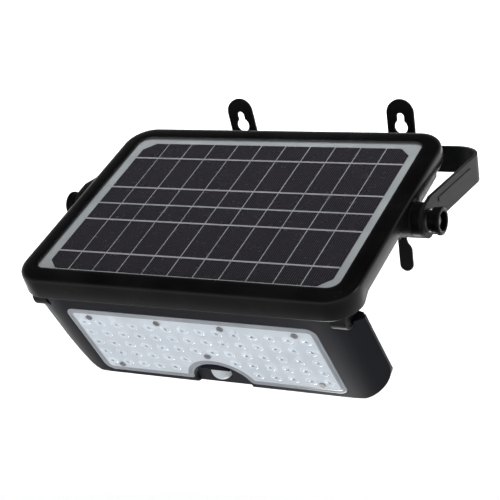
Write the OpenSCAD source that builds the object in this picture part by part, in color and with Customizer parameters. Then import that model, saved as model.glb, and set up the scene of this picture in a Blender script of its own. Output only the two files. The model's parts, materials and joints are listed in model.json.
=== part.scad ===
// Solar flood light with a folding light head, held in a wall bracket.
// Millimetres, +Z up, +Y into the wall, +X to the right seen from the front.
// Origin: wall face, midway between the two keyholes of the hanging plates.

/* [Pose] */
// Panel tilt: back edge up, degrees above level
panel_tilt = 15.9; // [-20:0.1:50]
// Light head: degrees swung out from folded flat under the panel
head_open = 75.4; // [0:0.1:78]
// Lean of the left hanging plate about its keyhole
left_lean = 7.1; // [0:0.1:10]
// Lean of the right hanging plate about its keyhole
right_lean = 0.9; // [0:0.1:10]

/* [Panel] */
// Overall width of the panel frame
frame_w = 267.4; // [240:0.2:300]
// Overall depth of the panel frame, front to back
frame_d = 196.2; // [180:0.2:220]
// Outer corner radius of the frame
frame_r = 22; // [14:0.5:30]
// Width of the frame lip from outer edge to glass opening
lip_w = 13.4; // [8:0.2:18]
// Skirt depth of the frame at the sides, below the cell plane
side_skirt = 11.6; // [8:0.2:14]
// Skirt depth of the frame at the front
front_skirt = 15.6; // [12:0.2:18]
// Columns of half cells
cell_cols = 11; // [6:1:14]
// Pitch of the cell columns
cell_pitch = 20.55; // [16:0.05:26]
// Length of one half cell
cell_len = 78.4; // [60:0.1:90]
// Gap between neighbouring cells
cell_gap = 0.95; // [0.4:0.05:2]
// Gap between the two rows of cells
row_gap = 1.9; // [0.6:0.1:3]
// Offset of the cell field towards the front edge
cell_shift = 1.6; // [0:0.1:3]

/* [Bracket] */
// Outside width over the bracket arms
arm_span = 287.8; // [280:0.2:320]
// Strap thickness
strap_t = 2.6; // [2:0.1:4]
// Strap height
strap_h = 20.2; // [14:0.1:30]
// Outer radius of the two strap bends
bend_r = 24; // [8:0.5:30]
// Distance between the two keyhole screws
keyhole_spacing = 140; // [100:1:180]
// Head hole radius of a keyhole
keyhole_r = 5.6; // [4:0.1:7]
// Slot radius of a keyhole
slot_r = 3.2; // [2:0.1:4]

/* [Clamp knobs] */
// Knob radius
knob_r = 10; // [8:0.1:14]
// Grip grooves round a knob
knob_grooves = 30; // [12:1:36]
// Radius of the pivot hub
hub_r = 12.4; // [10:0.1:16]

/* [Light head] */
// Width of the head over its wings
head_w = 265; // [240:0.5:290]
// Lens width
lens_w = 200.2; // [160:0.2:220]
// Lens height
lens_h = 76.2; // [60:0.2:84]
// Lens domes in the top row
dome_cols = 14; // [8:2:16]
// Column pitch of the domes
dome_pitch = 13.75; // [10:0.05:16]
// Row pitch of the domes
dome_row = 12.2; // [9:0.1:14]

/* [Hidden] */
$fn = 64;
e = 0.01;
// pivot axis of the panel
py = -134.34;
pz = -24.42;
// height of the cell plane and depth of the frame centre, from the pivot
gp = 16.83;
fc = -16.06;
// hinge axis of the light head, from the pivot, in panel axes
hu = -101.22;
hn = -4.85;
arm_x = arm_span / 2;
strap_z = -19.6;
bar_y = -16;
plate_t = 2;
hub_in = 134.9;
boss_end = 134.6;
// panel lug that carries the head: radius, side faces
lug_r = 7.8;
lug_x0 = 113.2;
lug_x1 = 124.6;
// swept-back wings of the head: start, arc radius, final slope
wing_x = 98;
wing_r = 47;
wing_slope = 30;
// clearance round a lug
gap = 0.4;
// lens: offset of its top edge from the hinge, back face
lens_a = 4;
lens_back = -7.7;
// rear cover of the head: width, length and centre
cover_w = 216;
cover_l = 76;
cover_a = 41;
// LED board front face
led_front = -3.3;
// movement sensor: distance down from the top of the lens, screws to each side
sensor_w = 68.5;
sensor_post_x = 12.4;
// notch round the sensor: centre, radius and shoulder fillet, floor height and hood lip
notch_w = 79.5;
notch_r = 24;
notch_fillet = 3.5;
scoop_r = 22.8;
scoop_floor = -6.1;
hood_w = 60;

// ---------- placing ----------

module at_panel() {
  translate([0, py, pz])
    rotate([panel_tilt, 0, 0])
      children();
}

module at_head() {
  at_panel()
    translate([0, hu, hn])
      rotate([-head_open, 0, 0])
        children();
}

module both_sides() {
  children();
  mirror([1, 0, 0])
    children();
}

// cylinder along X from x0 to x1
module xcyl(x0, x1, r, fn = 64) {
  translate([x0, 0, 0])
    rotate([0, 90, 0])
      cylinder(h = x1 - x0, r = r, $fn = fn);
}

// flat rounded rectangle centred on the origin
module rrect(w, d, r) {
  x = w / 2 - r;
  y = d / 2 - r;
  square([w, d - 2 * r], center = true);
  square([w - 2 * r, d], center = true);
  for (sx = [-1, 1], sy = [-1, 1])
    translate([sx * x, sy * y])
      circle(r);
}

// closed ring of a profile swept round a rounded rectangle, r measured outward from the corner centres
module sweep_ring(w, d, r) {
  x = w / 2 - r;
  y = d / 2 - r;
  for (k = [0 : 3])
    rotate([0, 0, k * 90])
      translate([k % 2 == 0 ? x : y, k % 2 == 0 ? y : x, 0]) {
        rotate_extrude(angle = 90)
          children();
        rotate([90, 0, 0])
          linear_extrude(2 * (k % 2 == 0 ? y : x))
            children();
      }
}

// 2D drawn in depth and height, pulled along X from x0 to x1
module along_x(x0, x1) {
  translate([x0, 0, 0])
    rotate([90, 0, 90])
      linear_extrude(x1 - x0)
        children();
}

// 2D drawn in width and height, pulled along Y from y0 to y1
module along_y(y0, y1) {
  translate([0, y1, 0])
    rotate([90, 0, 0])
      linear_extrude(y1 - y0)
        children();
}

// ---------- wall bracket ----------

module arm_outline() {
  // drawn in depth (y) and height (z)
  difference() {
    union() {
      translate([-124, strap_z - strap_h / 2])
        square([124 + bar_y - bend_r, strap_h]);
      translate([py, pz])
        circle(hub_r);
      polygon([
        [-124 + e, strap_z + strap_h / 2],
        [-127.5, strap_z + strap_h / 2],
        [py + hub_r * cos(108), pz + hub_r * sin(108)],
        [py, pz],
        [py + hub_r * cos(-62), pz + hub_r * sin(-62)],
        [-110, strap_z - strap_h / 2],
        [-110, strap_z + strap_h / 2]
      ]);
    }
    translate([py, pz])
      circle(3.25);
    translate([py + 9, pz])
      circle(1.6);
  }
}

module bend_corner() {
  translate([arm_x - bend_r, bar_y - bend_r, strap_z - strap_h / 2])
    rotate_extrude(angle = 90)
      translate([bend_r - strap_t, 0])
        square([strap_t, strap_h]);
}

module u_bracket() {
  color([0.24, 0.24, 0.25])
    difference() {
      union() {
        translate([-(arm_x - bend_r), bar_y - strap_t, strap_z - strap_h / 2])
          cube([2 * (arm_x - bend_r), strap_t, strap_h]);
        both_sides() {
          bend_corner();
          along_x(arm_x - strap_t, arm_x)
            arm_outline();
          // pressed stiffening rib
          along_x(arm_x - 0.4, arm_x + 0.5)
            translate([-115, strap_z + 2.2])
              square([62, 3]);
        }
      }
      for (p = [rivet_pos(-1), rivet_pos(1)])
        translate([p[0], bar_y - strap_t - 1, p[1]])
          rotate([-90, 0, 0])
            cylinder(h = strap_t + 2, r = 3.05);
    }
}

// rivet place below a keyhole, following the lean of its plate
function plate_lean(s) = s < 0 ? left_lean : right_lean;
function rivet_pos(s) = [
  s * (keyhole_spacing / 2 + strap_z * tan(plate_lean(s))),
  strap_z
];

// hanging plate drawn round its keyhole, narrow leg on the inner side
module plate_outline(s) {
  difference() {
    union() {
      translate([0, 11])
        circle(11.2);
      translate([-11.2, -50])
        square([22.4, 61]);
      polygon([
        [-11.2, -49], [-11.2, -114.9], [-0.1, -114.9], [-0.1, -101.6], [-1.1, -99.4], [-3.1, -96.8],
        [-4.1, -93.5], [-4.1, -62], [-3.2, -57.5], [-0.6, -53.6], [3.4, -51], [8, -50], [8, -49]
      ]);
      translate([-5.65, -114.9])
        circle(5.55);
    }
    // keyhole
    circle(keyhole_r);
    translate([0, 8.25])
      circle(slot_r);
    translate([-slot_r, 0])
      square([2 * slot_r, 8.25]);
    // rivet hole
    translate([0, strap_z / cos(plate_lean(s))])
      circle(3.05);
  }
}

module wall_plate(s) {
  translate([s * keyhole_spacing / 2, 0, 0])
    rotate([0, s * plate_lean(s), 0])
      rotate([90, 0, 0])
        linear_extrude(plate_t)
          if (s > 0)
            plate_outline(s);
          else
            mirror([1, 0])
              plate_outline(s);
}

module wall_plate_left() {
  color([0.12, 0.12, 0.13])
    wall_plate(-1);
}

module wall_plate_right() {
  color([0.12, 0.12, 0.13])
    wall_plate(1);
}

module plate_spacers() {
  color([0.3, 0.3, 0.31])
    for (p = [rivet_pos(-1), rivet_pos(1)])
      translate([p[0], bar_y + 0.02, p[1]])
        rotate([-90, 0, 0])
          difference() {
            cylinder(h = -bar_y - plate_t - 0.04, r = 7);
            translate([0, 0, -1])
              cylinder(h = 20, r = 3.05);
          }
}

module plate_rivets() {
  color([0.55, 0.55, 0.57])
    for (p = [rivet_pos(-1), rivet_pos(1)])
      translate([p[0], 0, p[1]])
        rotate([90, 0, 0]) {
          translate([0, 0, 0.6])
            cylinder(h = -bar_y + strap_t + 0.5, r = 3);
          translate([0, 0, -bar_y + strap_t + 0.05])
            intersection() {
              cylinder(h = 2.2, r = 5);
              translate([0, 0, -4.6])
                sphere(6.8);
            }
        }
}

// ring between panel boss and arm, keyed to the arm by a peg
module hub_ring() {
  difference() {
    union() {
      translate([0, py, pz])
        xcyl(hub_in, arm_x - strap_t - 0.02, hub_r);
      translate([0, py + 9, pz])
        xcyl(hub_in + 1, arm_x - 0.4, 1.55, 32);
    }
    translate([0, py, pz])
      xcyl(hub_in - 1, arm_x, 6.56);
  }
}

module hub_ring_left() {
  color([0.1, 0.1, 0.11])
    mirror([1, 0, 0])
      hub_ring();
}

module hub_ring_right() {
  color([0.1, 0.1, 0.11])
    hub_ring();
}

module clamp_washers() {
  color([0.6, 0.6, 0.62])
    both_sides()
      translate([0, py, pz])
        difference() {
          xcyl(arm_x + 0.02, arm_x + 1.2, 8);
          xcyl(arm_x - 1, arm_x + 3, 3.25);
        }
}

// ---------- clamp knobs ----------

module knob() {
  translate([0, py, pz])
    difference() {
      union() {
        xcyl(arm_x + 1.5, arm_x + 3.6, 7.4);
        xcyl(arm_x + 3.5, arm_x + 9, knob_r);
        translate([arm_x + 9 - e, 0, 0])
          rotate([0, 90, 0])
            cylinder(h = 1.5, r1 = knob_r, r2 = 7.8);
      }
      for (k = [0 : knob_grooves - 1])
        rotate([k * 360 / knob_grooves, 0, 0])
          translate([0, knob_r + 0.25, 0])
            xcyl(arm_x + 4.4, arm_x + 8.1, 0.75, 16);
      xcyl(arm_x + 5.6, arm_x + 12, 6.5);
      xcyl(arm_x, arm_x + 9, 3.02);
    }
}

module knob_left() {
  color([0.08, 0.08, 0.09])
    mirror([1, 0, 0])
      knob();
}

module knob_right() {
  color([0.08, 0.08, 0.09])
    knob();
}

module stud() {
  translate([0, py, pz])
    union() {
      xcyl(128, arm_x + 7.4, 3);
      xcyl(arm_x + 5.62, arm_x + 6.6, 4.6);
    }
}

module stud_left() {
  color([0.7, 0.7, 0.72])
    mirror([1, 0, 0])
      stud();
}

module stud_right() {
  color([0.7, 0.7, 0.72])
    stud();
}

// ---------- panel ----------

// section of the frame: r outward from the corner centre, height from the pivot
module frame_section(depth) {
  o = frame_r;
  polygon([
    [o - lip_w, gp + 1.25],
    [o - lip_w, gp + 1.7],
    [o - lip_w + 0.5, gp + 2.05],
    [o - lip_w + 2, gp + 2.3],
    [o - 5, gp + 2.0],
    [o - 2.6, gp + 1.6],
    [o - 1.2, gp + 0.8],
    [o - 0.4, gp - 0.3],
    [o, gp - 1.8],
    [o, gp - depth + 0.8],
    [o - 0.5, gp - depth],
    [o - 2.2, gp - depth],
    [o - 2.2, gp - 3],
    [o - 4.2, gp + 0.4],
    [o - lip_w + 6, gp + 1.25]
  ]);
}

// screw places in the frame, from the pivot
screw_xu = [
  [126.4, -70], [126.4, -30], [-126.4, -70], [-126.4, -30],
  [100, 76.2], [0, 76.2], [-100, 76.2]
];

module panel_frame() {
  color([0.13, 0.13, 0.14])
    at_panel()
      difference() {
        union() {
          translate([0, fc, 0])
            sweep_ring(frame_w, frame_d, frame_r)
              frame_section(side_skirt);
          // deeper skirt round the front
          intersection() {
            translate([0, fc, 0])
              sweep_ring(frame_w, frame_d, frame_r)
                frame_section(front_skirt);
            along_x(-200, 200)
              polygon([
                [-130, gp - 30], [-96, gp - 30], [-96, gp - front_skirt],
                [-84, gp - side_skirt - e], [-84, gp - 4], [-130, gp - 4]
              ]);
          }
          for (p = screw_xu)
            translate([p[0], p[1], 9.9])
              cylinder(h = gp - 8.4, r = 3.2);
        }
        for (p = screw_xu)
          translate([p[0], p[1], 5])
            cylinder(h = 11, r = 1.35, $fn = 32);
        // half-round openings over the hubs
        xcyl(-150, -128, hub_r + 0.3);
        xcyl(128, 150, hub_r + 0.3);
      }
}

module panel_glass() {
  color([0.55, 0.6, 0.65, 0.35])
    at_panel()
      translate([0, fc, gp - 0.14])
        linear_extrude(1.3)
          rrect(frame_w - 21.4, frame_d - 21.4, 6);
}

module backsheet() {
  color([0.72, 0.74, 0.75])
    at_panel()
      translate([0, fc, gp - 2.1])
        linear_extrude(1.45)
          rrect(frame_w - 21.4, frame_d - 21.4, 6);
}

module solar_cells() {
  cw = cell_pitch - cell_gap;
  last = cell_cols - 1;
  side = last / 2 * cell_pitch + cw / 2;
  color([0.07, 0.07, 0.1])
    at_panel()
      translate([0, fc - cell_shift, gp - 0.62])
        linear_extrude(0.26)
          for (s = [0, 1])
            mirror([0, s, 0])
              for (k = [0 : last])
                difference() {
                  translate([k * cell_pitch - side, row_gap / 2])
                    square([cw, cell_len]);
                  // cropped outer corners of the array
                  if (k == 0 || k == last)
                    translate([k == 0 ? -side : side, row_gap / 2 + cell_len])
                      rotate(45)
                        square(12, center = true);
                }
}

module cell_ribbons() {
  span = cell_cols * cell_pitch - cell_gap;
  color([0.75, 0.75, 0.76])
    at_panel()
      for (v = [-59.39, -20.35, 20.35, 59.39])
        translate([-span / 2, fc - cell_shift + v - 0.7, gp - 0.34])
          cube([span, 1.4, 0.18]);
}

module panel_gasket() {
  color([0.2, 0.2, 0.2])
    at_panel()
      translate([0, fc, gp - 3.65])
        linear_extrude(1.5)
          difference() {
            rrect(frame_w - 22, frame_d - 22, 5.5);
            rrect(frame_w - 32, frame_d - 32, 2);
          }
}

// outside of the deep rear box in depth and height
module box_side(g) {
  polygon([
    [-9 + g, 12], [-6 + g, -13.5 + g], [-3.5 + g, -16 + g],
    [66 - g, -16 + g], [70 - g, -13 + g], [74 - g, 12]
  ]);
}

// outside of the deep rear box in width and height
module box_front(g) {
  polygon([
    [-126 + g, 12], [-122 + g, -13 + g], [-118.5 + g, -16 + g],
    [118.5 - g, -16 + g], [122 - g, -13 + g], [126 - g, 12]
  ]);
}

module rear_housing() {
  tray_w = frame_w - 5;
  tray_d = frame_d - 5;
  color([0.11, 0.11, 0.12])
    at_panel()
      difference() {
        union() {
          // shallow tray floor
          translate([0, fc, 7.6])
            linear_extrude(2.2)
              rrect(tray_w, tray_d, frame_r - 2.5);
          // rim carrying the gasket
          translate([0, fc, 9.7])
            linear_extrude(gp - 3.7 - 9.7)
              difference() {
                rrect(frame_w - 22.4, frame_d - 22.4, 5.3);
                rrect(frame_w - 27.4, frame_d - 27.4, 3);
              }
          // deep box
          intersection() {
            along_x(-127, 127)
              box_side(0);
            along_y(-9, 74)
              box_front(0);
            translate([-140, -60, -20])
              cube([280, 200, 29.8]);
          }
          // pivot bosses and their spigots
          both_sides() {
            xcyl(117, boss_end, hub_r);
            xcyl(117, 140.7, 6.5);
            hinge_lug();
          }
        }
        // inside of the deep box
        intersection() {
          along_x(-125, 125)
            box_side(2.4);
          along_y(-9, 74)
            box_front(2.4);
        }
        both_sides()
          xcyl(116, 142, 4.65);
        // screw holes
        for (p = screw_xu)
          translate([p[0], p[1], 5])
            cylinder(h = 9, r = 1.7, $fn = 32);
        // blind hinge bore and lightening pocket in each lug
        translate([0, hu, hn])
          both_sides() {
            xcyl(lug_x0 - 3, lug_x1 - 2, 2.06);
            xcyl(lug_x1 - 0.6, lug_x1 + 5, 5.6);
          }
        // switch hole
        translate([60, 34, -20])
          cylinder(h = 12, r = 7.05);
      }
}

module hinge_lug() {
  along_x(lug_x0, lug_x1) {
    translate([hu, hn])
      circle(lug_r);
    translate([hu - 5.5, hn])
      square([11, 7.8 - hn]);
  }
}

module hub_inserts() {
  color([0.75, 0.6, 0.3])
    at_panel()
      both_sides()
        difference() {
          xcyl(119, 140.6, 4.62);
          xcyl(118, 142, 3.07);
        }
}

module housing_screws() {
  color([0.6, 0.6, 0.62])
    at_panel()
      for (p = screw_xu)
        translate([p[0], p[1], 0]) {
          translate([0, 0, 5.6])
            cylinder(h = 1.98, r = 2.9);
          translate([0, 0, 7])
            cylinder(h = 8.5, r = 1.3, $fn = 32);
        }
}

module battery_cradle() {
  color([0.2, 0.2, 0.22])
    at_panel()
      translate([-70, 4, -13.5])
        difference() {
          cube([70, 42, 7]);
          for (v = [11, 31])
            translate([0, v, 9.9])
              xcyl(2, 68, 9.35);
        }
}

module battery_cells() {
  color([0.25, 0.45, 0.7])
    at_panel()
      for (v = [15, 35])
        translate([0, v, -3.6])
          xcyl(-67.6, -2.6, 9.2);
}

module charge_board() {
  color([0.1, 0.35, 0.2])
    at_panel()
      translate([8, 6, -8.5])
        cube([44, 56, 1.6]);
}

module board_parts() {
  color([0.15, 0.15, 0.16])
    at_panel() {
      translate([14, 12, -6.88])
        cube([14, 14, 6]);
      translate([34, 14, -6.88])
        cube([8, 8, 1.6]);
      translate([18, 40, -6.88])
        cylinder(h = 10, r = 4);
      translate([32, 34, -6.88])
        cube([12, 20, 3]);
      for (x = [12, 48], y = [10, 58])
        translate([x, y, -13.58])
          cylinder(h = 5.06, r = 2.5);
    }
}

module switch_collar() {
  color([0.18, 0.18, 0.19])
    at_panel()
      translate([60, 34, 0])
        difference() {
          union() {
            translate([0, 0, -17.6])
              cylinder(h = 1.58, r = 9);
            translate([0, 0, -16.5])
              cylinder(h = 7.5, r = 7);
          }
          translate([0, 0, -20])
            cylinder(h = 20, r = 5.06);
        }
}

module power_button() {
  color([0.35, 0.07, 0.07])
    at_panel()
      translate([60, 34, -18.8])
        cylinder(h = 7, r = 5);
}

module switch_body() {
  color([0.12, 0.12, 0.13])
    at_panel()
      translate([60, 34, -8.95])
        difference() {
          translate([-8, -8, 0])
            cube([16, 16, 8]);
          translate([0, 0, -1])
            cylinder(h = 1.5, r = 5.1);
        }
}

// ---------- light head, drawn folded: front of the lens faces down ----------

// front outline in width and length from the hinge
module head_plan(g) {
  x = head_w / 2 - g;
  b = 86.3 - g;
  r = 28 - g;
  t = -13 + g;
  translate([-x, t])
    square([2 * x, b - r - t]);
  translate([-(x - r), b - r - 1])
    square([2 * (x - r), r + 1]);
  for (s = [-1, 1])
    translate([s * (x - r), b - r])
      circle(r);
}

// section across the width: flat front, wings swept back on an arc, edge stepped to clear the frame
module head_across(g) {
  f = -9 + g;
  x = head_w / 2 - g;
  r = wing_r - g;
  cy = wing_r - 9;
  tip = [wing_x + r * sin(wing_slope), cy - r * cos(wing_slope)];
  both_sides() {
    polygon([
      [-1, f], [wing_x, f], tip, [x, tip[1] + (x - tip[0]) * tan(wing_slope)],
      [x, 4.6 - g], [x - 1.4, 6 - g], [x - 1.4, 7.7 - g], [118, 11 - g], [-1, 11 - g]
    ]);
    intersection() {
      translate([wing_x, cy])
        circle(r, $fn = 128);
      polygon([[wing_x, f], [wing_x + r * tan(wing_slope / 2), f], tip]);
    }
  }
}

// section of the hollow across the width
module void_across() {
  polygon([
    [-100, -6.6], [100, -6.6], [106, -6.0], [112, -4.3], [118, -1.7], [122, 0.4],
    [122, 8.0], [118, 8.6], [-118, 8.6], [-122, 8.0],
    [-122, 0.4], [-118, -1.7], [-112, -4.3], [-106, -6.0]
  ]);
}

// section along the length: round at the hinge
module head_along(g) {
  r = 12.04 - g;
  f = -9 + g;
  k = 11 - g;
  intersection() {
    circle(r);
    translate([-r, f])
      square([r, k - f]);
  }
  polygon([
    [-0.1, f], [84.3 - g, f], [86.3 - g, -7 + g], [86.3 - g, 6.5 - g], [82 - g, k], [-0.1, k]
  ]);
}

module head_solid(g) {
  intersection() {
    translate([0, 0, -20])
      linear_extrude(40)
        head_plan(g);
    along_y(-20, 100)
      head_across(g);
    along_x(-140, 140)
      head_along(g);
  }
}

module head_void() {
  intersection() {
    translate([0, 0, -20])
      linear_extrude(40)
        head_plan(2.4);
    along_y(-20, 100)
      void_across();
    along_x(-140, 140)
      head_along(2.4);
  }
}

// lens outline with the sensor notch and its rounded shoulders, shrunk by g
module lens_outline(g) {
  r = notch_fillet - g;
  fx = sqrt(pow(notch_r + notch_fillet, 2) - pow(notch_w - lens_h + notch_fillet, 2));
  fw = lens_h - notch_fillet;
  k = (notch_r + g) / (notch_r + notch_fillet);
  translate([0, lens_a])
    difference() {
      translate([0, lens_h / 2])
        rrect(lens_w - 2 * g, lens_h - 2 * g, 7.5 - g * 0.6);
      translate([0, notch_w])
        circle(notch_r + g);
      if (r > 0.5)
        both_sides()
          difference() {
            polygon([
              [fx, lens_h + 1], [fx, fw], [fx * k, notch_w + (fw - notch_w) * k], [notch_r - 4, lens_h + 1]
            ]);
            translate([fx, fw])
              circle(r);
          }
    }
}

dome_xy = [
  for (j = [0 : 4])
    for (k = [0 : dome_cols - 1])
      let (x = (k - (dome_cols - 1) / 2) * dome_pitch)
        if (!(j == 3 && abs(x) < 10) && !(j == 4 && abs(x) < 24))
          [x, lens_a + 14.4 + j * dome_row]
];

lens_screw_xy = [
  [-82.5, 8.4], [-25.6, 8.4], [25.6, 8.4], [82.5, 8.4], [-82.5, 67], [82.5, 67], [0, 45]
];

cover_screw_xy = [
  [-103.7, 7.3], [103.7, 7.3], [-103.7, 74.7], [103.7, 74.7], [-36, 75.6], [36, 75.6], [0, 6.4]
];

// pad that carries a lens screw from the nearest edge of the light opening
module lens_screw_pad(p) {
  translate(p)
    circle(3.2);
  if (p[0] == 0)
    translate([-3.2, p[1]])
      square([6.4, 9]);
  else
    translate([p[0] - 3.2, p[1] < 30 ? 2 : p[1]])
      square([6.4, p[1] < 30 ? p[1] - 2 : 8]);
}

// recess for the movement sensor, open at the free edge
module sensor_scoop() {
  translate([0, lens_a + notch_w, -12])
    linear_extrude(12 + scoop_floor)
      circle(scoop_r);
}

// hood that shades the sensor
module sensor_hood() {
  intersection() {
    along_x(-14, 14)
      translate([lens_a, 0])
        polygon([
          [hood_w - 4.6, -8.8], [hood_w - 0.6, -10.7], [hood_w, -10.7], [hood_w - 0.1, -5], [hood_w - 5, -5]
        ]);
    translate([0, lens_a + notch_w, -12])
      cylinder(h = 8, r = scoop_r + 0.3);
  }
}

module head_shell() {
  color([0.14, 0.14, 0.15])
    at_head() {
      head_shell_body();
      sensor_hood();
    }
}

module head_shell_body() {
  difference() {
    union() {
      difference() {
        head_solid(0);
        head_void();
        // rear opening
        translate([0, 0, 6])
          linear_extrude(10)
            cover_outline(-6.5);
      }
      // inner walls
      intersection() {
        head_solid(0.5);
        union() {
          // hinge pin blocks
          both_sides()
            translate([97, -10, -10])
              cube([15.8, 18, 18.2]);
          // sensor recess floor and side wall
          translate([0, lens_a + notch_w, scoop_floor - 0.4])
            linear_extrude(2.4)
              circle(notch_r + 3);
          translate([0, lens_a + notch_w, -8])
            linear_extrude(8)
              difference() {
                circle(notch_r + 3);
                translate([0, -8])
                  circle(14);
              }
          // ledge for the cover
          translate([0, 0, 6.4])
            linear_extrude(2.8)
              difference() {
                cover_outline(2);
                cover_outline(-6.5);
              }
          // cover screw posts
          for (p = cover_screw_xy)
            translate([p[0], p[1], 1])
              cylinder(h = 7.2, r = 3.4);
          // lens screw posts
          for (p = lens_screw_xy)
            translate([0, lens_a, -7.5])
              linear_extrude(led_front - 0.02 + 7.5)
                lens_screw_pad(p);
          // sensor board posts
          for (s = [-1, 1])
            translate([s * sensor_post_x, lens_a + sensor_w, -5])
              cylinder(h = 6, r = 2.4);
        }
      }
    }
    // rear recess for the cover
    translate([0, 0, 8.35])
      linear_extrude(10)
        cover_outline(0.15);
    // lens seat and light opening
    translate([0, 0, -12])
      linear_extrude(12 - 7.4)
        lens_outline(-0.15);
    translate([0, 0, -12])
      linear_extrude(9)
        difference() {
          lens_outline(3.4);
          translate([0, lens_a])
            for (p = lens_screw_xy)
              lens_screw_pad(p);
        }
    // pockets for the panel lugs
    both_sides() {
      xcyl(lug_x0 - gap, lug_x1 + gap, lug_r + gap);
      translate([lug_x0 - gap, -20, -12])
        cube([lug_x1 - lug_x0 + 2 * gap, 20, 32]);
      translate([lug_x0 - gap, -20, 0])
        cube([lug_x1 - lug_x0 + 2 * gap, 25.9, 20]);
      translate([lug_x1 - 0.4, -20, -14])
        cube([20, 23.6, 34]);
      // relief for the frame's side skirt when folded
      translate([130.3, 0, 5.8])
        cube([5, 5.6, 8]);
    }
    both_sides()
      xcyl(96, 120, 2.03);
    sensor_scoop();
    // sensor hole
    translate([0, lens_a + sensor_w, -12])
      cylinder(h = 20, r = 8.75);
    // screw holes
    for (p = lens_screw_xy)
      translate([p[0], p[1] + lens_a, -8])
        cylinder(h = 6, r = 1.4, $fn = 24);
    for (p = cover_screw_xy)
      translate([p[0], p[1], 2.5])
        cylinder(h = 14, r = 1.25, $fn = 24);
    for (s = [-1, 1])
      translate([s * sensor_post_x, lens_a + sensor_w, -1.6])
        cylinder(h = 6, r = 1.05, $fn = 24);
  }
}

// outline of the rear cover in width and length
module cover_outline(g) {
  translate([0, cover_a])
    rrect(cover_w + 2 * g, cover_l + 2 * g, 8);
}

module head_cover() {
  color([0.12, 0.12, 0.13])
    at_head()
      difference() {
        union() {
          translate([0, 0, 8.95])
            linear_extrude(2)
              cover_outline(0);
          for (v = [16, 26, 36, 46, 56, 66])
            translate([-88, v, 10.8])
              cube([176, 2.4, 0.8]);
        }
        for (p = cover_screw_xy)
          translate([p[0], p[1], 7])
            cylinder(h = 6, r = 1.7, $fn = 24);
      }
}

module head_gasket() {
  color([0.25, 0.25, 0.25])
    at_head()
      translate([0, 0, 8.37])
        linear_extrude(0.56)
          difference() {
            cover_outline(-1.2);
            cover_outline(-6.2);
            for (p = cover_screw_xy)
              translate(p)
                circle(1.6);
          }
}

module cover_screws() {
  color([0.6, 0.6, 0.62])
    at_head()
      for (p = cover_screw_xy)
        translate([p[0], p[1], 0]) {
          translate([0, 0, 10.97])
            cylinder(h = 1.4, r = 2.7);
          translate([0, 0, 3])
            cylinder(h = 8.5, r = 1.22, $fn = 24);
        }
}

module hinge_pins() {
  color([0.7, 0.7, 0.72])
    at_head()
      both_sides()
        xcyl(99, lug_x1 - 2.3, 2);
}

module lens_cover() {
  color([0.8, 0.86, 0.92, 0.6])
    at_head()
      difference() {
        union() {
          translate([0, 0, -9.2])
            linear_extrude(lens_back + 9.2)
              lens_outline(0);
          intersection() {
            for (p = dome_xy)
              translate([p[0], p[1], -4.6])
                sphere(6.3, $fn = 32);
            translate([-110, 0, -12])
              cube([220, 90, 3.5]);
          }
        }
        for (p = lens_screw_xy)
          translate([p[0], p[1] + lens_a, -12])
            cylinder(h = 8, r = 1.6, $fn = 24);
      }
}

module lens_seal() {
  color([0.3, 0.3, 0.3])
    at_head()
      translate([0, 0, lens_back + 0.01])
        linear_extrude(0.27)
          difference() {
            lens_outline(0.6);
            lens_outline(2.6);
          }
}

module lens_screws() {
  color([0.35, 0.35, 0.37])
    at_head()
      for (p = lens_screw_xy)
        translate([p[0], p[1] + lens_a, 0]) {
          translate([0, 0, -10.1])
            cylinder(h = 0.88, r = 2.4, $fn = 32);
          translate([0, 0, -9.5])
            cylinder(h = 8.8, r = 1.22, $fn = 24);
        }
}

// metal-core board; the lens screws thread into it
module led_board() {
  color([0.85, 0.86, 0.86])
    at_head()
      translate([0, lens_a, led_front])
        linear_extrude(1.6)
          difference() {
            translate([0, 38])
              rrect(190, 64, 3);
            translate([0, 79.5])
              circle(27.5);
            for (p = lens_screw_xy)
              translate(p)
                circle(1.25, $fn = 24);
          }
}

module led_chips() {
  color([0.95, 0.9, 0.6])
    at_head()
      for (p = dome_xy)
        translate([p[0] - 1.4, p[1] - 1.4, led_front - 0.85])
          cube([2.8, 2.8, 0.83]);
}

module pir_dome() {
  color([0.9, 0.9, 0.9, 0.9])
    at_head()
      translate([0, lens_a + sensor_w, -2.6])
        difference() {
          union() {
            intersection() {
              sphere(8.7);
              translate([-10, -10, -10])
                cube([20, 20, 11]);
            }
            translate([0, 0, 0.8])
              cylinder(h = 1.9, r = 8.7);
            translate([0, 0, 2.7])
              cylinder(h = 0.9, r = 9.6);
          }
          sphere(7.7);
          cylinder(h = 6, r = 7.7);
        }
}

module pir_sensor() {
  color([0.7, 0.7, 0.7])
    at_head()
      translate([0, lens_a + sensor_w, -3.4])
        cylinder(h = 4.4, r = 4.5);
}

module pir_board() {
  color([0.1, 0.35, 0.2])
    at_head()
      difference() {
        translate([-16, lens_a + sensor_w - 8, 1.02])
          cube([32, 16, 1.2]);
        for (s = [-1, 1])
          translate([s * sensor_post_x, lens_a + sensor_w, 0])
            cylinder(h = 3, r = 1.3, $fn = 24);
      }
}

module sensor_screws() {
  color([0.6, 0.6, 0.62])
    at_head()
      for (s = [-1, 1])
        translate([s * sensor_post_x, lens_a + sensor_w, 0]) {
          translate([0, 0, 2.24])
            cylinder(h = 1.2, r = 2, $fn = 32);
          translate([0, 0, -1.2])
            cylinder(h = 3.6, r = 1.02, $fn = 24);
        }
}

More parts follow.
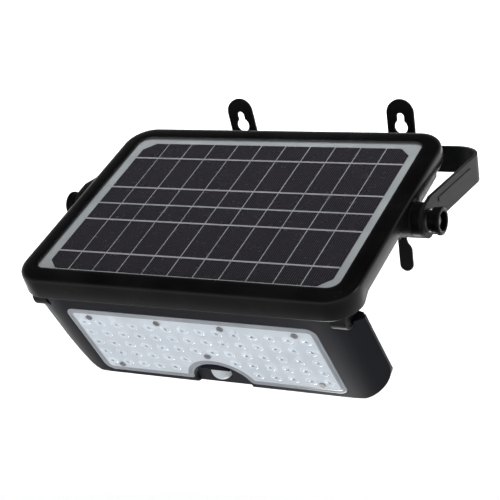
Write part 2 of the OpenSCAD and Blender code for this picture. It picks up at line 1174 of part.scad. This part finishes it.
u_bracket();
wall_plate_left();
wall_plate_right();
plate_spacers();
plate_rivets();
hub_ring_left();
hub_ring_right();
clamp_washers();
knob_left();
knob_right();
stud_left();
stud_right();
panel_frame();
panel_glass();
solar_cells();
cell_ribbons();
backsheet();
panel_gasket();
rear_housing();
hub_inserts();
housing_screws();
battery_cradle();
battery_cells();
charge_board();
board_parts();
switch_collar();
switch_body();
power_button();
head_shell();
head_cover();
head_gasket();
cover_screws();
hinge_pins();
lens_cover();
lens_seal();
lens_screws();
led_board();
led_chips();
pir_dome();
pir_sensor();
pir_board();
sensor_screws();
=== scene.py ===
import json
import math

import bmesh
import bpy
from mathutils import Matrix, Vector


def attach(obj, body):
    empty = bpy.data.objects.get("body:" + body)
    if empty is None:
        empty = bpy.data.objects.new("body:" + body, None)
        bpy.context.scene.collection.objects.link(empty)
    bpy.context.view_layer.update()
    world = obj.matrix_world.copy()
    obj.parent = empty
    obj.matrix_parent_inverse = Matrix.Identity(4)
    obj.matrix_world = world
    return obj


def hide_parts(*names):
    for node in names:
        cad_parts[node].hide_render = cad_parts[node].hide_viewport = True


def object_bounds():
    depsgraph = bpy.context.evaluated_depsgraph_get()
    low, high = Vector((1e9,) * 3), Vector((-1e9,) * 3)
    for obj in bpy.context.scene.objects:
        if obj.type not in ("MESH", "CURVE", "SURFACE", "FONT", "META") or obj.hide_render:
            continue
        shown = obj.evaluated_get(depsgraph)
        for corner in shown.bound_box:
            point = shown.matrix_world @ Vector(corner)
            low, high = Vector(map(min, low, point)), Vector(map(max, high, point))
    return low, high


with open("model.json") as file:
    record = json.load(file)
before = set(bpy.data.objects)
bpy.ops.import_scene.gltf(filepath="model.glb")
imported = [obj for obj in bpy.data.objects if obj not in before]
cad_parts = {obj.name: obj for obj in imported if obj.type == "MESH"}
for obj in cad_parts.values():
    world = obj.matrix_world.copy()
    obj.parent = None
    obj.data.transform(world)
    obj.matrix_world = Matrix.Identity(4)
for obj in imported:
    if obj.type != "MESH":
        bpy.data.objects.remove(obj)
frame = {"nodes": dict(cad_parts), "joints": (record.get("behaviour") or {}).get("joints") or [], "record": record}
cad_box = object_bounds()
nodes = frame["nodes"]
joints = {j["name"]: j for j in frame["joints"]}

# ---------- local frames of the panel and the light head ----------

# the button travels along the panel's normal, which gives the panel's tilt
normal = joints["button_press"]["axis"]
TILT = math.atan2(-normal[1], normal[2])
FOLD = math.radians(joints["head_swing"]["range_deg"][1])
PIVOT = Vector(joints["panel_tilt"]["pos_m"])
HINGE = Vector(joints["head_swing"]["pos_m"])
AT_PANEL = Matrix.Translation(PIVOT) @ Matrix.Rotation(TILT, 4, "X")
AT_HEAD = Matrix.Translation(HINGE) @ Matrix.Rotation(TILT - FOLD, 4, "X")
MM = 0.001


def local_box(node, place):
    """Lowest and highest corner of a node in a local frame, in millimetres."""
    inverse = place.inverted()
    points = [inverse @ v.co / MM for v in nodes[node].data.vertices]
    low = Vector([min(p[k] for p in points) for k in range(3)])
    high = Vector([max(p[k] for p in points) for k in range(3)])
    return low, high


# ---------- materials ----------


def shader(name):
    """A new material with its node tree, output and Principled shader."""
    mat = bpy.data.materials.new(name)
    mat.use_nodes = True
    tree = mat.node_tree
    return mat, tree, tree.nodes["Principled BSDF"]


def noise(tree, scale, detail=3.0, rough=0.5):
    """Noise on object coordinates, in features per metre."""
    coord = tree.nodes.new("ShaderNodeTexCoord")
    tex = tree.nodes.new("ShaderNodeTexNoise")
    tex.inputs["Scale"].default_value = scale
    tex.inputs["Detail"].default_value = detail
    tex.inputs["Roughness"].default_value = rough
    tree.links.new(coord.outputs["Object"], tex.inputs["Vector"])
    return tex


def ramp(tree, source, stops):
    """A colour ramp fed by a value; stops are (position, colour) pairs."""
    node = tree.nodes.new("ShaderNodeValToRGB")
    elements = node.color_ramp.elements
    while len(elements) < len(stops):
        elements.new(0.5)
    for element, (position, colour) in zip(elements, stops):
        element.position = position
        element.color = (*colour, 1.0)
    tree.links.new(source, node.inputs["Fac"])
    return node


def span(tree, source, low, high):
    """A value from 0..1 stretched to low..high."""
    node = tree.nodes.new("ShaderNodeMapRange")
    node.inputs["To Min"].default_value = low
    node.inputs["To Max"].default_value = high
    tree.links.new(source, node.inputs["Value"])
    return node.outputs["Result"]


def adjust(material, name, value):
    """Sets one input of a material's shader and hands the material back."""
    material.node_tree.nodes["Principled BSDF"].inputs[name].default_value = value
    return material


def bump(tree, bsdf, height, distance, strength, round_edges=0.0):
    """Surface grain on the shader's normal, with softened edges under it."""
    node = tree.nodes.new("ShaderNodeBump")
    node.inputs["Distance"].default_value = distance
    node.inputs["Strength"].default_value = strength
    tree.links.new(height, node.inputs["Height"])
    if round_edges:
        soft = tree.nodes.new("ShaderNodeBevel")
        soft.samples = 4
        soft.inputs["Radius"].default_value = round_edges
        tree.links.new(soft.outputs["Normal"], node.inputs["Normal"])
    tree.links.new(node.outputs["Normal"], bsdf.inputs["Normal"])


def textured_plastic(name, dark, light, rough, grain=900.0, depth=0.00006, edge=0.0, gloss=0.3):
    """Moulded plastic: spark-eroded grain, faint mottling and uneven sheen."""
    mat, tree, bsdf = shader(name)
    mottle = noise(tree, 35.0)
    colour = ramp(tree, mottle.outputs["Fac"], [(0.35, dark), (0.7, light)])
    tree.links.new(colour.outputs["Color"], bsdf.inputs["Base Color"])
    fine = noise(tree, grain, 2.0)
    tree.links.new(span(tree, mottle.outputs["Fac"], rough - 0.07, rough + 0.09), bsdf.inputs["Roughness"])
    bsdf.inputs["Specular IOR Level"].default_value = gloss
    bump(tree, bsdf, fine.outputs["Fac"], depth, 0.5, edge)
    return mat


def coated_steel(name, dark, light, rough, edge=0.0004, gloss=0.13):
    """Powder-coated steel: orange-peel skin with a satin sheen."""
    mat, tree, bsdf = shader(name)
    peel = noise(tree, 420.0, 3.0, 0.55)
    colour = ramp(tree, peel.outputs["Fac"], [(0.3, dark), (0.75, light)])
    tree.links.new(colour.outputs["Color"], bsdf.inputs["Base Color"])
    tree.links.new(span(tree, peel.outputs["Fac"], rough - 0.05, rough + 0.1), bsdf.inputs["Roughness"])
    bsdf.inputs["Specular IOR Level"].default_value = gloss
    bump(tree, bsdf, peel.outputs["Fac"], 0.0001, 0.6, edge)
    return mat


def metal(name, colour, rough):
    """Plated or turned metal with fine brushed marks."""
    mat, tree, bsdf = shader(name)
    along, across = 60.0, 900.0
    coord = tree.nodes.new("ShaderNodeTexCoord")
    stretch = tree.nodes.new("ShaderNodeMapping")
    stretch.inputs["Scale"].default_value = (across, along, across)
    tex = tree.nodes.new("ShaderNodeTexNoise")
    tex.inputs["Scale"].default_value = 1.0
    tree.links.new(coord.outputs["Object"], stretch.inputs["Vector"])
    tree.links.new(stretch.outputs["Vector"], tex.inputs["Vector"])
    dark = tuple(c * 0.82 for c in colour)
    tone = ramp(tree, tex.outputs["Fac"], [(0.3, dark), (0.7, colour)])
    tree.links.new(tone.outputs["Color"], bsdf.inputs["Base Color"])
    tree.links.new(span(tree, tex.outputs["Fac"], rough - 0.06, rough + 0.1), bsdf.inputs["Roughness"])
    bsdf.inputs["Metallic"].default_value = 1.0
    bump(tree, bsdf, tex.outputs["Fac"], 0.00002, 0.4)
    return mat


def clear_plastic(name, colour):
    """Polished clear moulding with faint waviness."""
    mat, tree, bsdf = shader(name)
    bsdf.inputs["Base Color"].default_value = (*colour, 1)
    bsdf.inputs["Transmission Weight"].default_value = 1.0
    bsdf.inputs["IOR"].default_value = 1.49
    wave = noise(tree, 180.0)
    tree.links.new(span(tree, wave.outputs["Fac"], 0.04, 0.12), bsdf.inputs["Roughness"])
    bump(tree, bsdf, wave.outputs["Fac"], 0.00002, 0.3)
    return mat


def silicon():
    """Dark silicon crossed by fine printed fingers at a regular pitch."""
    mat, tree, bsdf = shader("silicon")
    finger_pitch = 0.0016
    finger, plain = (0.075, 0.072, 0.08), (0.021, 0.019, 0.024)
    coord = tree.nodes.new("ShaderNodeTexCoord")
    split = tree.nodes.new("ShaderNodeSeparateXYZ")
    tree.links.new(coord.outputs["Object"], split.inputs["Vector"])
    pitches = tree.nodes.new("ShaderNodeMath")
    pitches.operation = "DIVIDE"
    pitches.inputs[1].default_value = finger_pitch
    tree.links.new(split.outputs["X"], pitches.inputs[0])
    nearest = tree.nodes.new("ShaderNodeMath")
    nearest.operation = "PINGPONG"
    nearest.inputs[1].default_value = 0.5
    tree.links.new(pitches.outputs["Value"], nearest.inputs[0])
    tone = ramp(tree, nearest.outputs["Value"], [(0.04, finger), (0.08, plain)])
    tree.links.new(tone.outputs["Color"], bsdf.inputs["Base Color"])
    grain = noise(tree, 120.0)
    tree.links.new(span(tree, grain.outputs["Fac"], 0.2, 0.32), bsdf.inputs["Roughness"])
    bump(tree, bsdf, grain.outputs["Fac"], 0.00001, 0.3)
    return mat


NEAR_BLACK = (0.002, 0.002, 0.0022)
BLACK = (0.004, 0.004, 0.0045)
HOUSING = textured_plastic("housing_plastic", BLACK, (0.007, 0.0068, 0.0072), 0.42, edge=0.0006)
BEZEL = textured_plastic("bezel_plastic", (0.003, 0.0028, 0.003), (0.0055, 0.005, 0.0053), 0.25, gloss=0.26)
HEAD = textured_plastic(
    "head_plastic", (0.005, 0.0053, 0.009), (0.0075, 0.008, 0.0125), 0.42, edge=0.0007, gloss=0.15
)
KNOB = textured_plastic("knob_plastic", NEAR_BLACK, BLACK, 0.28, gloss=0.13)
HUB = textured_plastic("hub_plastic", NEAR_BLACK, BLACK, 0.28, edge=0.0008, gloss=0.18)
BRACKET = coated_steel("bracket_coat", (0.008, 0.0082, 0.009), (0.012, 0.0124, 0.0135), 0.42)
PLATE = coated_steel("plate_coat", BLACK, (0.007, 0.007, 0.0075), 0.5)
ZINC = metal("zinc", (0.62, 0.62, 0.64), 0.32)
BRASS = metal("brass", (0.72, 0.55, 0.27), 0.3)
DARK_STEEL = metal("dark_steel", (0.42, 0.42, 0.43), 0.35)
RIBBON = adjust(metal("ribbon", (0.55, 0.55, 0.57), 0.5), "Metallic", 0.3)
SEAL = textured_plastic("seal_rubber", (0.02, 0.02, 0.02), (0.035, 0.035, 0.035), 0.8)
BUTTON = textured_plastic("button_rubber", (0.12, 0.01, 0.01), (0.2, 0.015, 0.015), 0.6)
BLACK_PART = textured_plastic("moulded_black", (0.015, 0.015, 0.015), (0.03, 0.03, 0.03), 0.55)
SLEEVE = textured_plastic("battery_sleeve", (0.03, 0.12, 0.35), (0.05, 0.17, 0.45), 0.3, 200.0)
BOARD = textured_plastic("solder_mask", (0.01, 0.1, 0.04), (0.02, 0.16, 0.07), 0.35, 500.0)
WHITE_BOARD = textured_plastic("white_mask", (0.5, 0.52, 0.54), (0.6, 0.62, 0.64), 0.4, 500.0)
PHOSPHOR = textured_plastic("phosphor", (0.8, 0.62, 0.12), (0.9, 0.75, 0.2), 0.35, 600.0)
BACKSHEET = textured_plastic("backsheet", (0.36, 0.385, 0.4), (0.42, 0.445, 0.46), 0.4, 400.0)
DOME_WHITE = textured_plastic("dome_white", (0.5, 0.54, 0.57), (0.58, 0.62, 0.65), 0.25, 300.0, 0.00002)
CELL = silicon()
GLASS = adjust(
    textured_plastic("panel_glass", (0.01, 0.01, 0.01), (0.02, 0.02, 0.02), 0.1, 200.0, 0.000002),
    "Alpha",
    0.06,
)
LENS = adjust(textured_plastic("lens", (0.72, 0.78, 0.84), (0.8, 0.86, 0.92), 0.24), "Alpha", 0.8)
RIM = adjust(
    textured_plastic("lens_rim", (0.36, 0.39, 0.43), (0.44, 0.47, 0.51), 0.2, 300.0, 0.00002, gloss=0.8),
    "Alpha",
    0.8,
)
DOME = clear_plastic("lens_dome", (0.97, 0.985, 1.0))
CUP = textured_plastic("led_cup", (0.28, 0.3, 0.32), (0.36, 0.38, 0.4), 0.3)

FINISH = {
    "bracket_steel": BRACKET,
    "plate_steel": PLATE,
    "zinc_steel": ZINC,
    "hub_plastic": HUB,
    "knob_plastic": KNOB,
    "housing_plastic": HOUSING,
    "head_plastic": HEAD,
    "cover_glass": GLASS,
    "silicon": CELL,
    "ribbon": RIBBON,
    "backsheet_white": BACKSHEET,
    "seal": SEAL,
    "brass": BRASS,
    "battery": SLEEVE,
    "board_green": BOARD,
    "component_black": BLACK_PART,
    "button_rubber": BUTTON,
    "lens_clear": LENS,
    "board_white": WHITE_BOARD,
    "led": PHOSPHOR,
    "dome_white": DOME_WHITE,
    "dark_screw": DARK_STEEL,
}
for part in frame["record"]["subparts"]:
    mesh = nodes[part["node"]].data
    mesh.materials.clear()
    mesh.materials.append(FINISH[part["material_slot"]])

# ---------- mesh helpers, drawn in millimetres in a local frame ----------


def add_piece(name, verts, faces, place, body, material, stands_for, sharp):
    """A smooth-shaded mesh piece that rides on a body and takes the given material."""
    mesh = bpy.data.meshes.new(name)
    mesh.from_pydata([place @ (Vector(v) * MM) for v in verts], [], faces)
    mesh.materials.append(material)
    bm = bmesh.new()
    bm.from_mesh(mesh)
    bmesh.ops.remove_doubles(bm, verts=bm.verts, dist=1e-6)
    bmesh.ops.recalc_face_normals(bm, faces=bm.faces)
    bm.to_mesh(mesh)
    bm.free()
    mesh.shade_smooth()
    mesh.set_sharp_from_angle(angle=math.radians(sharp))
    obj = bpy.data.objects.new(name, mesh)
    bpy.context.scene.collection.objects.link(obj)
    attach(obj, body)
    if stands_for:
        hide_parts(*stands_for)
    return obj


def arc(cx, cy, r, start, end, steps):
    """Points on an arc, angles in degrees."""
    angles = [math.radians(start + (end - start) * k / steps) for k in range(steps + 1)]
    return [(cx + r * math.cos(t), cy + r * math.sin(t)) for t in angles]


def grid_faces(rows, columns, close_rows, close_columns):
    """Quads over a grid of points stored row by row."""
    faces = []
    for i in range(rows if close_rows else rows - 1):
        for j in range(columns if close_columns else columns - 1):
            a, b = i * columns, ((i + 1) % rows) * columns
            k = (j + 1) % columns
            faces.append((a + j, a + k, b + k, b + j))
    return faces


# ---------- panel bezel ----------


def bezel():
    """Frame round the glass: one sweep whose skirt deepens round the front and clears the pivot hubs."""
    low, high = local_box("panel_frame", AT_PANEL)
    _, glass_high = local_box("panel_glass", AT_PANEL)
    hub_low, hub_high = local_box("hub_ring_right", AT_PANEL)
    width, depth = high.x - low.x, high.y - low.y
    centre = (high.y + low.y) / 2
    radius, lip = 22.0, 13.4
    # the section is drawn with its outer edge at this distance from the corner centre
    o = radius
    glass_over_cells = 1.16
    plane = glass_high.z - glass_over_cells
    side_skirt = 11.6
    front_skirt = plane - low.z
    # where the skirt starts to deepen, from the pivot, and how far it takes
    deepens_at, run = -84.0, 12.0
    hub_clearance = 0.35
    hub = (hub_high.z - hub_low.z) / 2 + hub_clearance
    # the sides are cut finely, for the arch over the hubs
    corner_steps, front_steps, side_spacing = 16, 24, 2.0

    # walk round the rounded rectangle: corner centre, outward direction
    half_x, half_y = width / 2 - radius, depth / 2 - radius
    stations = []
    corners = [(half_x, half_y, 0), (-half_x, half_y, 90), (-half_x, -half_y, 180), (half_x, -half_y, 270)]
    for k, (cx, cy, start) in enumerate(corners):
        for step in range(corner_steps + 1):
            t = math.radians(start + 90 * step / corner_steps)
            stations.append((cx, cy, math.cos(t), math.sin(t)))
        nx, ny, _ = corners[(k + 1) % 4]
        t = math.radians(start + 90)
        length = math.hypot(nx - cx, ny - cy)
        count = int(length / side_spacing) if k % 2 else front_steps
        for step in range(1, count):
            f = step / count
            stations.append((cx + (nx - cx) * f, cy + (ny - cy) * f, math.cos(t), math.sin(t)))
    verts = []
    for cx, cy, dx, dy in stations:
        u = centre + cy + dy * radius
        bottom = plane - side_skirt
        ease = min(max((deepens_at - u) / run, 0.0), 1.0)
        bottom -= (front_skirt - side_skirt) * ease * ease * (3 - 2 * ease)
        # on the straight sides the skirt arches over the pivot hub
        if abs(dx) > 0.99 and abs(u) < hub:
            bottom = max(bottom, math.sqrt(hub * hub - u * u))
        # section: lip over the glass, crowned top, rounded edge, skirt, back up the inside
        shape = [
            (o - lip, plane + 1.2), (o - lip, plane + 1.9), (o - lip + 0.8, plane + 2.25),
            (o - lip + 2.5, plane + 2.3), (o - 6.5, plane + 2.12), (o - 4.2, plane + 1.86),
            (o - 2.4, plane + 1.4), (o - 1.1, plane + 0.62), (o - 0.35, plane - 0.45), (o, plane - 1.9),
            (o, bottom + 0.8), (o - 0.5, bottom), (o - 2.0, bottom), (o - 2.2, bottom + 0.4),
            (o - 2.2, plane - 3), (o - 4.2, plane + 0.4), (o - lip + 6, plane + 1.2),
        ]
        verts += [(cx + dx * r, centre + cy + dy * r, z) for r, z in shape]
    faces = grid_faces(len(stations), len(shape), True, True)
    add_piece(
        "bezel", verts, faces, AT_PANEL, "panel", BEZEL, ["panel_frame"], 40.0
    )


# ---------- lens of the light head ----------


def lens_path(width, length, corner, notch_centre, notch_r, fillet):
    """Points round the lens outline: rounded corners and a notch with rounded shoulders."""
    # centre of a shoulder fillet, and the lean of the line to it from the notch's centre
    fx = math.sqrt((notch_r + fillet) ** 2 - (notch_centre - length + fillet) ** 2)
    fw = length - fillet
    lean = math.degrees(math.atan2(fw - notch_centre, fx))
    x, y0, y1 = width / 2 - corner, corner, length - corner
    return (
        arc(x, y0, corner, -90, 0, 8)
        + arc(x, y1, corner, 0, 90, 8)
        + arc(fx, fw, fillet, 90, 180 + lean, 6)
        + arc(0, notch_centre, notch_r, lean, -180 - lean, 40)
        + arc(-fx, fw, fillet, -lean, 90, 6)
        + arc(-x, y1, corner, 90, 180, 8)
        + arc(-x, y0, corner, 180, 270, 8)
    )


def turned(profile, centres, face, sides, flatten=1.0):
    """One capped, turned form on each centre, from (radius, depth behind the face) pairs."""
    verts, faces = [], []
    for cx, cy in centres:
        start = len(verts)
        for r, k in profile:
            for step in range(sides):
                t = 2 * math.pi * step / sides
                verts.append((cx + r * math.cos(t), cy + r * flatten * math.sin(t), face + k))
        faces += [tuple(start + v for v in f) for f in grid_faces(len(profile), sides, False, True)]
        last = start + (len(profile) - 1) * sides
        faces.append(tuple(range(last, last + sides)))
    return verts, faces


def lens():
    """Clear cover: stepped grey rim, frosted field over the board, a dimpled dome over each chip."""
    low, high = local_box("lens_cover", AT_HEAD)
    top = low.y
    width, length = high.x - low.x, high.y - low.y
    # front face and back face, from the hinge
    face, back = -9.2, high.z
    corner, notch_centre, notch_r, fillet = 7.5, 79.5, 24.0, 3.5
    smallest_corner, smallest_fillet = 1.2, 0.6

    def ring(inset, k):
        path = lens_path(
            width - 2 * inset,
            length - 2 * inset,
            max(corner - inset, smallest_corner),
            notch_centre - inset,
            notch_r + inset,
            max(fillet - inset, smallest_fillet),
        )
        return [(x, top + inset + y, k) for x, y in path]

    # rim and field: (inset from the outline, level); outwards is down in the head's frame
    rim = [
        (2.0, back), (0.0, back), (0.0, face + 0.4), (0.12, face + 0.12), (0.4, face), (1.5, face),
        (1.75, face + 0.1), (1.95, face + 0.45), (2.5, face + 0.5), (2.75, face + 0.2), (3.1, face + 0.08),
        (4.6, face + 0.06),
    ]
    verts = [v for inset, k in rim for v in ring(inset, k)]
    count = len(verts) // len(rim)
    faces = grid_faces(len(rim), count, False, True)
    add_piece("lens_rim", verts, faces, AT_HEAD, "head", RIM, ["lens_cover"], 25.0)

    field = [(4.6, back), (4.6, face + 0.06), (5.2, face + 0.04), (5.6, face + 0.05)]
    verts = [v for inset, k in field for v in ring(inset, k)]
    faces = grid_faces(len(field), count, False, True)
    faces.append(tuple(range((len(field) - 1) * count, len(field) * count)))
    faces.append(tuple(reversed(range(count))))
    add_piece("lens_field", verts, faces, AT_HEAD, "head", LENS, (), 25.0)

    # domes, and the dark cups just under them: (radius, depth behind the face)
    dome = [
        (4.75, 0.02), (4.65, -0.4), (4.3, -0.85), (3.7, -1.2), (3.0, -1.36), (2.3, -1.3), (1.7, -1.1),
        (1.1, -0.9), (0.4, -0.85),
    ]
    verts, faces = turned(dome, chip_places(), face, 24, 0.86)
    domes = add_piece("lens_domes", verts, faces, AT_HEAD, "head", DOME, (), 60.0)
    domes.visible_shadow = False
    cup = [(1.5, 0.08), (1.5, -0.02), (1.3, -0.06), (1.0, -0.05)]
    verts, faces = turned(cup, chip_places(), face, 16)
    add_piece("led_cups", verts, faces, AT_HEAD, "head", CUP, (), 40.0)


def chip_places():
    """Centres of the chips in the head's plane, from the solids of their node."""
    inverse = AT_HEAD.inverted()
    bm = bmesh.new()
    bm.from_mesh(nodes["led_chips"].data)
    bmesh.ops.remove_doubles(bm, verts=bm.verts, dist=1e-6)
    seen = set()
    places = []
    for vert in bm.verts:
        if vert in seen:
            continue
        group, to_visit = [], [vert]
        while to_visit:
            v = to_visit.pop()
            if v in seen:
                continue
            seen.add(v)
            group.append(inverse @ v.co / MM)
            to_visit += [edge.other_vert(v) for edge in v.link_edges]
        xs, ys = [p.x for p in group], [p.y for p in group]
        places.append(((min(xs) + max(xs)) / 2, (min(ys) + max(ys)) / 2))
    bm.free()
    return sorted(places)


# ---------- clamp knobs ----------


def knob(side, sign):
    """Knurled barrel with a ribbed front ring, a rounded lip and a deep recess."""
    place = Matrix.Translation(PIVOT)
    low, high = local_box(f"knob_{side}", place)
    x0 = min(abs(low.x), abs(high.x))
    # offset along the axis, radius, depth of the knurl
    profile = [
        (0.0, 3.05, 0), (0.0, 7.0, 0), (0.15, 7.25, 0), (1.9, 7.3, 0), (2.0, 8.6, 0), (2.2, 9.0, 0),
        (2.5, 9.3, 0.35), (5.4, 9.3, 0.35), (5.6, 9.1, 0), (5.8, 9.2, 0), (6.0, 9.7, 0.1), (6.3, 9.95, 0.3),
        (7.9, 9.95, 0.3), (8.3, 9.75, 0.1), (8.6, 9.4, 0), (8.85, 8.8, 0), (8.95, 8.1, 0), (8.9, 7.3, 0),
        (8.6, 6.8, 0), (8.1, 6.6, 0), (4.3, 6.55, 0), (4.12, 6.4, 0), (4.12, 3.05, 0),
    ]
    teeth, per_tooth, groove_steps = 44, 6, 2
    steps = teeth * per_tooth
    verts = []
    for step in range(steps):
        t = 2 * math.pi * step / steps
        groove = 1.0 if step % per_tooth < groove_steps else 0.0
        for x, r, knurl in profile:
            radius = r - knurl * groove
            verts.append((sign * (x0 + x), radius * math.cos(t), radius * math.sin(t)))
    faces = grid_faces(steps, len(profile), True, True)
    add_piece(
        f"knob_{side}_grip", verts, faces, place, f"clamp_{side}", KNOB,
        [f"knob_{side}"], 35.0,
    )


bezel()
lens()
knob("left", -1)
knob("right", 1)

# ---------- camera, lights, floor ----------


def camera():
    """Main viewpoint: right of centre, above, rolled a few degrees."""
    data = bpy.data.cameras.new("camera")
    data.sensor_width = 36.0
    data.lens = 106.75
    data.clip_start = 0.05
    data.clip_end = 50.0
    cam = bpy.data.objects.new("camera", data)
    bpy.context.scene.collection.objects.link(cam)
    azimuth, elevation, roll = math.radians(31.085), math.radians(19.943), math.radians(-8.2)
    back = Vector((
        math.sin(azimuth) * math.cos(elevation),
        -math.cos(azimuth) * math.cos(elevation),
        math.sin(elevation),
    ))
    level = back.to_track_quat("Z", "Y")
    cam.rotation_mode = "QUATERNION"
    cam.rotation_quaternion = level @ Matrix.Rotation(roll, 4, "Z").to_quaternion()
    cam.location = (0.52877, -1.01247, 0.31787)
    bpy.context.scene.camera = cam


def area_light(name, place, target, size, power, glossy=True, spread=180.0):
    """A square soft box aimed at a point."""
    data = bpy.data.lights.new(name, "AREA")
    data.shape = "SQUARE"
    data.size = size
    data.energy = power
    data.spread = math.radians(spread)
    light = bpy.data.objects.new(name, data)
    light.location = place
    light.rotation_mode = "QUATERNION"
    light.rotation_quaternion = (Vector(target) - Vector(place)).to_track_quat("-Z", "Y")
    light.visible_glossy = glossy
    light.visible_camera = False
    bpy.context.scene.collection.objects.link(light)
    return light


def surround():
    """World that is bright at the horizon and dark overhead."""
    world = bpy.data.worlds.new("studio")
    bpy.context.scene.world = world
    world.use_nodes = True
    tree = world.node_tree
    coord = tree.nodes.new("ShaderNodeTexCoord")
    split = tree.nodes.new("ShaderNodeSeparateXYZ")
    tree.links.new(coord.outputs["Generated"], split.inputs["Vector"])
    # (height over the horizon, brightness)
    grey = [(0.0, 0.3), (0.12, 0.6), (0.3, 0.42), (0.5, 0.08), (0.68, 0.006), (1.0, 0.004)]
    sky = ramp(tree, split.outputs["Z"], [(height, (tone, tone, tone * 1.02)) for height, tone in grey])
    tree.links.new(sky.outputs["Color"], tree.nodes["Background"].inputs["Color"])


def ground(z):
    """Pale floor with painted light: its own emission rises with distance from the origin, so it is dark under the
    object like a painted shadow and glows softly far away, so every side has a pale ground.
    """
    half = 30.0
    glow_from, glow_full, glow = 0.9, 2.6, 0.8
    mesh = bpy.data.meshes.new("floor")
    corners = [(-half, -half, z), (half, -half, z), (half, half, z), (-half, half, z)]
    mesh.from_pydata(corners, [], [(0, 1, 2, 3)])
    floor = bpy.data.objects.new("floor", mesh)
    bpy.context.scene.collection.objects.link(floor)
    mat, tree, bsdf = shader("floor_painted_glow")
    bsdf.inputs["Base Color"].default_value = (0.45, 0.45, 0.45, 1)
    bsdf.inputs["Roughness"].default_value = 1.0
    bsdf.inputs["Specular IOR Level"].default_value = 0.0
    coord = tree.nodes.new("ShaderNodeTexCoord")
    reach = tree.nodes.new("ShaderNodeVectorMath")
    reach.operation = "LENGTH"
    tree.links.new(coord.outputs["Object"], reach.inputs[0])
    far = tree.nodes.new("ShaderNodeMapRange")
    far.inputs["From Min"].default_value = glow_from
    far.inputs["From Max"].default_value = glow_full
    far.inputs["To Max"].default_value = glow
    tree.links.new(reach.outputs["Value"], far.inputs["Value"])
    # painted light: the floor glows by emission, none near the object (a painted shadow round it) and rising to
    # full far away
    bsdf.inputs["Emission Color"].default_value = (1, 1, 1, 1)
    tree.links.new(far.outputs["Result"], bsdf.inputs["Emission Strength"])
    mesh.materials.append(mat)


def studio():
    """Surround, floor and soft boxes round the object."""
    low, high = cad_box
    centre = (low + high) / 2
    floor_drop = 0.6
    z = low.z - floor_drop
    surround()
    ground(z)
    area_light("overhead", (0.1, -0.4, 1.05), centre, size=0.9, power=1.5, glossy=False, spread=90.0)
    # lights the floor behind the object
    area_light(
        "backdrop_light", (-1.3, 2.85, 2.2), (-1.3, 2.85, z), size=5.4, power=225.0, glossy=False, spread=58.0
    )
    area_light("front_fill", (-0.2, -1.5, -0.2), centre, size=0.8, power=1.85, glossy=False, spread=70.0)
    area_light("right_box", (1.7, 0.3, 0.35), centre, size=0.7, power=4.0)
    # small low lamp that shows only as the glint on each dome
    glint = area_light("low_glint", (-0.05, -0.085, -0.55), (0, -0.26, -0.1), size=0.16, power=0.6)
    glint.visible_diffuse = False


camera()
studio()
bpy.context.scene.view_settings.view_transform = "Standard"
